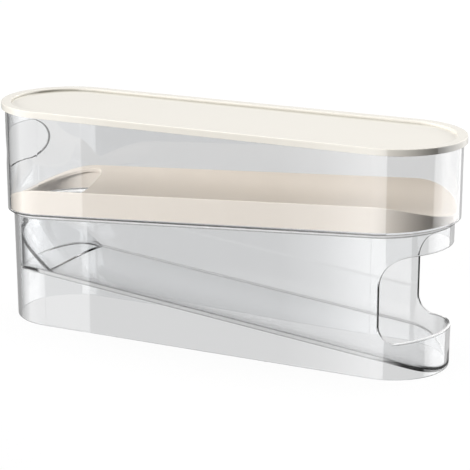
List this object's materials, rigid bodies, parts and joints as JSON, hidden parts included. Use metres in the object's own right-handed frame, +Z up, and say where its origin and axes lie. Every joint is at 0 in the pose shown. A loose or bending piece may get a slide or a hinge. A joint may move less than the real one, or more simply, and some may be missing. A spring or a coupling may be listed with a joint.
{
  "type": "rolling egg dispenser",
  "caption": "Long two-tier rolling egg dispenser: clear shells with round ends, a cream lid and upper ramp, a finger slot behind and an open mouth at the low front end.",
  "frame": {"origin": "on the floor under the base, midway between the two round ends", "axes": "+X along the length towards the front end with the mouth, +Y across, +Z up"},
  "size_m": [0.375, 0.1038, 0.1728],
  "materials": {
    "cream_plastic": "satin moulded plastic",
    "clear_plastic": "clear polished plastic"
  },
  "bodies": {
    "base": {"lower_shell": "clear_plastic", "lower_ramp": "clear_plastic", "rear_chute": "clear_plastic"},
    "upper_box": {"upper_shell": "clear_plastic"},
    "tray": {"upper_ramp": "cream_plastic"},
    "cover": {"lid": "cream_plastic"}
  },
  "joints": [
    {"name": "upper_box_lift", "type": "slide", "parent": "base", "child": "upper_box", "axis": [0, 0, 1], "range_m": [0, 0.06]},
    {"name": "tray_lift", "type": "slide", "parent": "upper_box", "child": "tray", "axis": [0, 0, 1], "range_m": [0, 0.09]},
    {"name": "lid_lift", "type": "slide", "parent": "tray", "child": "cover", "axis": [0, 0, 1], "range_m": [0, 0.06]}
  ]
}
